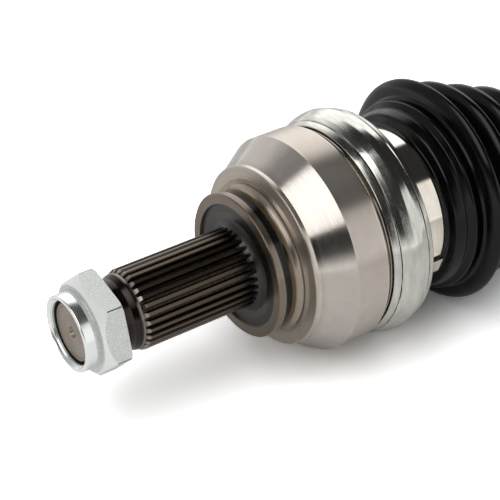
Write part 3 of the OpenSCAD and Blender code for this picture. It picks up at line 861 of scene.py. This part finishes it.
@dataclass
class InnerBoot:
    """The bellows boot of the tripod joint, in two pieces that meet in a hollow: the large one takes up the
    plunge and the small one the bend."""

    finish: Finish
    mouth_x: float = 434.7
    clamp_x: float = 438.2
    collar_end_x: float = 451.0
    bush_r: float = 45.3
    collar_r: float = 47.3
    mouth_r: float = 43.2
    small_r: float = 15.1
    small_inner_r: float = 13.4
    small_w: float = 10.0
    folds: Folds = Folds(434.0, 14.0, 6, 0.075, 44.8, 36.8, 15.7, 2.5)
    split: float = 2.5
    turns: int = 128

    def build(self) -> tuple[Piece, Piece]:
        """Makes both pieces. The folds run from the bar towards the tulip."""
        wave = self.folds.line()[::-1]
        wave[:, 0] = self.folds.first_crest - self.folds.pitch * wave[:, 0]
        cut_x = self.folds.first_crest - self.folds.pitch * self.split
        cut = int(np.searchsorted(wave[:, 0], cut_x))
        small_x = wave[0, 0]
        end = rounded(
            [
                (small_x - self.small_w + 0.2, self.small_inner_r, 0),
                (small_x - self.small_w + 0.2, self.small_r, 0.5),
                (small_x - 2.0, self.small_r, 0),
                (small_x - 1.2, self.small_r + 0.3, 0.5),
                (small_x, self.small_r + 0.6, 0),
            ]
        )
        small = walled(wave[: cut + 1], self.folds.wall)
        line = np.concatenate([end[:-1], small, [[small_x, self.small_inner_r]]])
        bend = turned_loop(line, self.turns).mesh("inner_boot_small_folds", 50)
        front = rounded(
            [
                (self.mouth_x - 1.6, self.folds.crest_r + 0.6, 0.4),
                (self.mouth_x - 1.4, self.collar_r + 1.0, 1.0),
                (self.clamp_x, self.collar_r + 1.0, 0.4),
                (self.clamp_x, self.collar_r, 0),
                (self.collar_end_x, self.collar_r, 0.4),
                (self.collar_end_x, self.bush_r + 0.35, 0),
                (self.mouth_x - 0.1, self.bush_r + 0.35, 0),
                (self.mouth_x - 0.2, self.mouth_r, 0),
            ]
        )
        large = walled(wave[cut:], self.folds.wall)
        count = len(wave[cut:])
        line = np.concatenate([large[:count], front, large[count + 1 :]])
        plunge = turned_loop(line, self.turns).mesh("inner_boot_large_folds", 50)
        for piece in (bend, plunge):
            carried(piece, self.finish)
        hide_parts("inner_boot")
        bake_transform(plunge)
        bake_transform(bend)
        return bend, plunge


@dataclass
class AxleNut:
    """The collar nut: a hexagon whose corners are barely rounded, chamfered in front and behind, with a
    turned collar, and with the first turns of its thread in the collar's mouth."""

    finish: Finish
    rim_x: float = -72.7
    hex_x: float = -66.7
    rear_x: float = -57.0
    collar_r: float = 14.6
    bore_r: float = 12.05
    half_flats: float = 17.5
    corner_round: float = 0.45
    corner_degrees: float = 16.0
    chamfer_r: float = 16.7
    chamfer_slope: float = 0.98
    rear_r: float = 19.4
    flat_steps: int = 14
    corner_steps: int = 5

    def outline(self) -> tuple[np.ndarray, np.ndarray]:
        """The hexagon's outline as angles and radii.

        One side is a straight line at half the width across flats, and an arc about a point that lies inside
        the corner by the arc's radius leads to the next side. Both are turned by whole sixths to make six.

        Returns:
            The angles round the shaft, rising, and the radius at each of them.
        """
        inner = self.half_flats - self.corner_round
        reach = inner * math.tan(math.radians(30))
        along = np.concatenate([[-reach], np.linspace(-reach + 0.2, reach - 0.2, self.flat_steps), [reach]])
        bend = np.radians(np.linspace(0, 60, self.corner_steps + 1))[1:-1]
        out = np.concatenate([np.full_like(along, self.half_flats), inner + self.corner_round * np.cos(bend)])
        side = np.concatenate([along, reach + self.corner_round * np.sin(bend)])
        middle = math.radians(self.corner_degrees + 30)
        angle = (np.arctan2(side, out)[None, :] + middle + np.radians(60) * np.arange(6)[:, None]).ravel()
        return angle, np.tile(np.hypot(side, out), 6)

    def rows(self, edge: np.ndarray) -> np.ndarray:
        """The rows of the surface as points [x, r] for every angle.

        Round rows keep one radius. On the chamfer's rows the cone meets the hexagon, so that x follows the
        hexagon's radius, which draws the arcs of a real nut.

        Args:
            edge: The hexagon's radius at every angle.

        Returns:
            An array of rows, angles and [x, r].
        """
        rim, face, outer, bore = self.rim_x, self.hex_x, self.collar_r, self.bore_r
        collar = rounded(
            [
                (rim, outer - 1.25, 0),
                (rim, outer, 0.9),
                (face - 0.7, outer, 0.15),
                (face - 0.45, outer - 0.5, 0),
                (face, outer - 0.1, 0),
                (face, self.chamfer_r, 0),
            ],
            6,
        )
        thread = [
            (self.rear_x, bore),
            (rim + 2.2, bore),
            (rim + 1.9, bore + 0.5),
            (rim + 1.5, bore + 0.15),
            (rim + 1.2, bore + 0.75),
            (rim + 0.8, bore + 0.55),
            (rim + 0.5, bore + 1.0),
        ]
        past = np.maximum(edge - self.rear_r, 0)
        hexagon = [
            np.stack([self.hex_x + self.chamfer_slope * (edge - self.chamfer_r), edge], axis=1),
            np.stack([self.rear_x - 0.02 - 0.8 * past, edge], axis=1),
            np.stack([np.full_like(edge, self.rear_x), np.minimum(edge, self.rear_r) - 0.02], axis=1),
        ]
        turned, inside = ([np.tile(p, (len(edge), 1)) for p in line] for line in (collar, thread))
        return np.array(turned + hexagon + inside)

    def build(self) -> Piece:
        """Makes the nut."""
        angle, edge = self.outline()
        rows = self.rows(edge)
        x, r = rows[..., 0], rows[..., 1]
        points = np.stack([x, r * np.sin(angle), r * np.cos(angle)], axis=-1).reshape(-1, 3)
        nut = Grid(points, loop_faces(len(rows), len(angle))).mesh("axle_nut", 30)
        carried(nut, self.finish)
        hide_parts("hub_nut")
        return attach(nut, Body.HUB.value)


@dataclass
class PressedCan:
    """The can, with its gentle front slope, the spinning tool's fine steps and a rounded rear."""

    finish: Finish
    front_x: float = 42.0
    front_r: float = 42.15
    bulge_r: float = 45.6
    rear_x: float = 61.0
    neck_r: float = 29.3
    end_x: float = 76.0
    wall: float = 1.6
    turns: int = 144

    def line(self) -> np.ndarray:
        """The can's closed profile: flange, slope, bulge, rear, neck, and the inside one wall in."""
        a, b, rear, end = self.front_x, self.bulge_r, self.rear_x, self.end_x
        front, neck, wall = self.front_r, self.neck_r, self.wall
        outside = rounded(
            [
                (a, front - wall, 0),
                (a, front, 0.35),
                (a + 2.7, front + 0.95, 0.15),
                (a + 3.0, front + 0.8, 0.1),
                (a + 3.3, front + 1.15, 0.1),
                (a + 5.4, front + 2.05, 1.5),
                (a + 8.6, b - 0.3, 4.0),
                (a + 11.5, b, 3.0),
                (rear - 4.6, b - 0.75, 0.3),
                (rear - 4.2, b - 1.25, 0.1),
                (rear - 3.8, b - 1.05, 0.2),
                (rear - 1.5, b - 1.9, 1.2),
                (rear, b - 4.6, 1.5),
                (rear + 0.2, b - 8.0, 0),
                (rear + 0.4, neck, 2.0),
                (end, neck, 0.2),
                (end, neck - wall, 0),
            ],
            6,
        )
        inside = rounded(
            [
                (end, neck - wall, 0),
                (rear - wall + 0.4, neck - wall, 2.5),
                (rear - wall, b - 8.0, 0),
                (rear - wall - 0.1, b - 5.0, 1.0),
                (rear - 4.4, b - 1.4 - wall, 1.0),
                (a + 11.0, b - wall - 0.1, 1.0),
                (a + 7.4, b - 0.8 - wall, 1.0),
                (a + 6.0, b - 1.9 - wall, 0.5),
                (a + 5.2, front - wall, 0),
                (a, front - wall, 0),
            ],
            3,
        )
        return np.concatenate([outside, inside[1:-1]])

    def build(self) -> Piece:
        """Makes the can."""
        can = turned_loop(self.line(), self.turns).mesh("pressed_can", 30)
        carried(can, self.finish)
        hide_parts("outer_can")
        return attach(can, Body.HUB.value)


@dataclass(frozen=True)
class SkyPanel:
    """A round soft panel of the studio's sky, as the metal sees it."""

    towards: Point
    inner_degrees: float
    outer_degrees: float
    level: float

    def over(self, tree: Tree, view: Node, sky: Node) -> Node:
        """Lays the panel over the sky built so far.

        The panel is full inside the inner angle from its middle and gone outside the outer one. The cosine of
        that angle is the dot product of the view with the panel's direction.

        Args:
            tree: The world's node tree.
            view: The direction looked in.
            sky: The sky's level so far.

        Returns:
            The level with the panel on it.
        """
        middle = tuple(Vector(self.towards).normalized())
        cosine = add_node(tree, "VectorMath", {0: view, 1: middle}, operation="DOT_PRODUCT").outputs["Value"]
        full, edge = (math.cos(math.radians(a)) for a in (self.inner_degrees, self.outer_degrees))
        return add_node(tree, "Mix", {0: within(tree, (cosine, edge, full)), 2: sky, 3: self.level})


@dataclass
class Softbox:
    """A rectangular lamp that looks at a point, unseen by the camera."""

    name: str
    place: Point
    target: Point
    width: float
    height: float
    roll_degrees: float
    watts: float

    def build(self) -> Piece:
        """Makes the lamp."""
        data = bpy.data.lights.new(self.name, "AREA")
        data.shape, data.size, data.size_y = "RECTANGLE", self.width, self.height
        data.energy = self.watts
        lamp = bpy.data.objects.new(self.name, data)
        bpy.context.scene.collection.objects.link(lamp)
        lamp.location = self.place
        lamp.visible_camera = False
        aim = (Vector(self.target) - Vector(self.place)).to_track_quat("-Z", "Y")
        lamp.rotation_euler = (aim @ Quaternion((0.0, 0.0, 1.0), math.radians(self.roll_degrees))).to_euler()
        return lamp


@dataclass
class Studio:
    """The white floor, lamps, world and camera, in metres."""

    floor_z: float
    floor_half: float = 3.0
    floor_tone: float = 0.9
    seen_tone: float = 1.9
    glow_middle_x: float = 0.2
    glow_from: float = 0.45
    glow_full: float = 1.3
    sky_above: float = 0.03
    sky_below: float = 0.95
    horizon: Pair = (0.2, -0.04)
    panels: tuple[SkyPanel, ...] = (
        SkyPanel((-0.6, 0.6, 0.53), 20.0, 40.0, 0.45),
        SkyPanel((0.305, 0.947, 0.102), 25.0, 55.0, 0.95),
        SkyPanel((0.52, 0.72, 0.45), 23.0, 28.0, 1.7),
        SkyPanel((0.5, -0.8, 0.18), 31.0, 35.0, 1.05),
    )
    world_light: float = 0.14
    camera_place: Point = (-0.2749, -0.4023, 0.3479)
    camera_right: Point = (0.81945, -0.57314, 0.0)
    camera_up: Point = (0.32839, 0.46946, 0.8196)
    camera_forward: Point = (0.46975, 0.67162, -0.5729)
    lens: float = 115.2
    sensor: float = 36.0

    def camera(self) -> None:
        """Makes the scene's camera, which looks as the photograph's did."""
        data = bpy.data.cameras.new("studio_camera")
        data.lens, data.sensor_width, data.sensor_fit = self.lens, self.sensor, "HORIZONTAL"
        data.clip_start, data.clip_end = 0.01, 50.0
        camera = bpy.data.objects.new("studio_camera", data)
        bpy.context.scene.collection.objects.link(camera)
        back = tuple(-v for v in self.camera_forward)
        turn = Matrix((self.camera_right, self.camera_up, back)).transposed().to_4x4()
        camera.matrix_world = Matrix.Translation(self.camera_place) @ turn
        bpy.context.scene.camera = camera

    def world(self) -> None:
        """A plain studio: white behind the part and an even low light from every side. Mirror-like rays see
        its white horizon, its dark ceiling and its soft panels instead."""
        world = bpy.data.worlds.new("studio_world")
        bpy.context.scene.world = world
        world.use_nodes = True
        tree = world.node_tree
        tree.nodes.clear()
        coords = add_node(tree, "TexCoord")
        view = add_node(tree, "VectorMath", {0: coords.outputs["Generated"]}, operation="NORMALIZE")
        height = add_node(tree, "SeparateXYZ", {0: view}).outputs["Z"]
        low = within(tree, (height, *self.horizon))
        sky = add_node(tree, "Mix", {0: low, 2: self.sky_above, 3: self.sky_below})
        for panel in self.panels:
            sky = panel.over(tree, view, sky)
        paths = add_node(tree, "LightPath")
        lit = add_node(tree, "Mix", {0: paths.outputs["Is Glossy Ray"], 2: self.world_light, 3: sky})
        level = add_node(tree, "Mix", {0: paths.outputs["Is Camera Ray"], 2: lit, 3: 1.0})
        back = add_node(tree, "Background", {"Color": (1.0, 1.0, 1.0, 1.0), "Strength": level})
        add_node(tree, "OutputWorld", {"Surface": back})

    def floor(self) -> None:
        """Makes the white floor. To the camera it is brighter than white paint could be. Far from the part it
        also glows to the camera and to the metal, so that it meets the white behind and keeps the shadow."""
        half, z = self.floor_half, self.floor_z
        mesh = bpy.data.meshes.new("studio_floor")
        corners = [(-half, -half, z), (half, -half, z), (half, half, z), (-half, half, z)]
        mesh.from_pydata(corners, [], [(0, 1, 2, 3)])
        floor = bpy.data.objects.new("studio_floor", mesh)
        bpy.context.scene.collection.objects.link(floor)
        material = bpy.data.materials.new("white_floor")
        material.use_nodes = True
        tree = material.node_tree
        tree.nodes.clear()
        paths = add_node(tree, "LightPath")
        camera, glossy = paths.outputs["Is Camera Ray"], paths.outputs["Is Glossy Ray"]
        tone = add_node(tree, "Mix", {0: camera, 2: self.floor_tone, 3: self.seen_tone})
        matt = add_node(tree, "BsdfDiffuse", {"Color": tone})
        place = add_node(tree, "TexCoord").outputs["Object"]
        middle = (self.glow_middle_x, 0.0, z)
        reach = add_node(tree, "VectorMath", {0: place, 1: middle}, operation="DISTANCE").outputs["Value"]
        seen = add_node(tree, "Math", {0: camera, 1: glossy}, operation="MAXIMUM")
        far = within(tree, (reach, self.glow_from, self.glow_full))
        lift = add_node(tree, "Math", {0: far, 1: seen}, operation="MULTIPLY")
        glow = add_node(tree, "Emission", {"Strength": lift})
        both = add_node(tree, "AddShader", {0: matt, 1: glow})
        add_node(tree, "OutputMaterial", {"Surface": both})
        mesh.materials.append(material)
        floor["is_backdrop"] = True

    def lamps(self) -> None:
        """A tall softbox above and left of the hub end, and a wide ceiling that the metal doesn't mirror."""
        Softbox("tall_box", (-0.4095, -0.205, 0.716), (0.0, 0.0, 0.0), 0.556, 0.935, 27.7, 4.2).build()
        ceiling = Softbox("ceiling", (0.05, 0.05, 1.1), (0.05, 0.05, 0.0), 1.8, 1.8, 0.0, 9.5).build()
        ceiling.visible_glossy = False

    def build(self) -> None:
        """Makes the whole studio."""
        bpy.context.scene.view_settings.view_transform = "Standard"
        self.camera()
        self.world()
        self.floor()
        self.lamps()


def housing_finish() -> TurnedForging:
    """The bell and its stub, stretch by stretch, from the threaded end to the bar's side."""
    rows = (
        (-75.0, "#b5aa9b", 0.42),
        (-66.0, "#a0968a", 0.42),
        (-58.0, "#1c1d1e", 0.2),
        (-49.6, "#1c1d1e", 0.2),
        (-48.4, "#b4aca2", 0.25),
        (-47.4, "#b4aca2", 0.25),
        (-46.6, "#5d5347", 0.3),
        (-8.0, "#4b4238", 0.3),
        (-3.5, "#1a1918", 0.3),
        (-0.6, "#2b2a29", 0.28),
        (-0.2, "#85796c", 0.34),
        (2.6, "#93887c", 0.3),
        (3.1, "#23292c", 0.26),
        (6.0, "#1c2326", 0.24),
        (7.4, "#6d5f45", 0.24),
        (8.2, "#a39788", 0.34),
        (11.1, "#a99e92", 0.34),
        (11.5, "#c2baae", 0.34),
        (13.0, "#d6cfc6", 0.3),
        (13.6, "#b4aba1", 0.2),
        (15.2, "#c2bbb4", 0.23),
        (25.0, "#c2bbb4", 0.23),
        (25.6, "#c8bfb5", 0.35),
        (38.5, "#c8bfb5", 0.35),
        (38.9, "#d9d2ca", 0.12),
        (41.5, "#9a9088", 0.2),
        (44.0, "#3a3633", 0.3),
    )
    return TurnedForging("turned_forged_steel", tuple(Stretch(*row) for row in rows))


def finishes() -> dict[str, Finish]:
    """The finish of every CAD node, by the start of its name. The first that fits is taken."""
    steel = GroundSteel("ground_bearing_steel")
    strap = StainlessStrap("stainless_strap")
    phosphate = PhosphatedSteel("phosphated_steel")
    rubber = MouldedRubber("black_boot_rubber")
    return {
        "intermediate_shaft": StovedPaint("black_stoved_paint"),
        "outer_inner_race": GroundSteel("ground_race_steel", ("#868380", "#a9a6a2"), rough=(0.19, 0.28)),
        "outer_race_circlip": phosphate,
        "outer_clamp": strap,
        "spider_circlip": phosphate,
        "spider": steel,
        "trunnion_washers": steel,
        "trunnion_circlips": phosphate,
        "inner_clamp": strap,
        "hub_nut": BrightZinc(
            "bright_zinc_plate", AxleNut.hex_x, AxleNut.chamfer_r, AxleNut.chamfer_slope, AxleNut.collar_r
        ),
        "outer_housing": housing_finish(),
        # places of the can's step lines, painted dark with dirt and painted shade
        "outer_can": ZincSheet("zinc_plated_sheet", (45.0, 56.8, 59.5)),
        "outer_boot": rubber,
        "outer_cage": GroundSteel("hardened_cage_steel", ("#5c5955", "#77736e"), rough=(0.27, 0.36)),
        "outer_ball": GroundSteel("polished_ball_steel", ("#bdbdbd", "#c9c9c9"), rough=(0.05, 0.14)),
        "inner_boot_bush": MouldedPlastic("moulded_polyamide"),
        "inner_boot": rubber,
        "tripod_roller": GroundSteel("ground_roller_steel", ("#9f9c99", "#b9b7b4"), rough=(0.13, 0.22)),
        "roller_needles": GroundSteel("polished_needle_steel", ("#b5b5b5", "#c4c4c4"), rough=(0.07, 0.16)),
        "tripod_tulip": ScaledForging("scaled_forging", 519.0),
        "dust_deflector": phosphate,
        "stub_circlip": phosphate,
    }


def dress(nodes: dict[str, Piece], looks: dict[str, Finish]) -> None:
    """Puts the finishes on the CAD nodes' own material slots.

    Args:
        nodes: The CAD nodes by name.
        looks: The finishes by the start of the nodes' names.
    """
    for name, node in nodes.items():
        finish = next(f for start, f in looks.items() if name.startswith(start))
        for slot in node.material_slots:
            slot.material = finish.material()
        LOG.info("dressed %s in %s", name, finish.name)


def main() -> None:
    """Builds the dressed shaft in its studio."""
    logging.basicConfig(level=logging.INFO, format="%(message)s")
    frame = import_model()
    cad_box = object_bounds()
    looks = finishes()
    dress(frame["nodes"], looks)
    nut = AxleNut(looks["hub_nut"]).build()
    can = PressedCan(looks["outer_can"]).build()
    boot = OuterBoot(looks["outer_boot"]).build()
    for piece in (nut, can, boot, *InnerBoot(looks["inner_boot"]).build()):
        LOG.info("made %s", piece.name)
    Studio(floor_z=cad_box[0][2]).build()


if __name__ == "__main__":
    main()
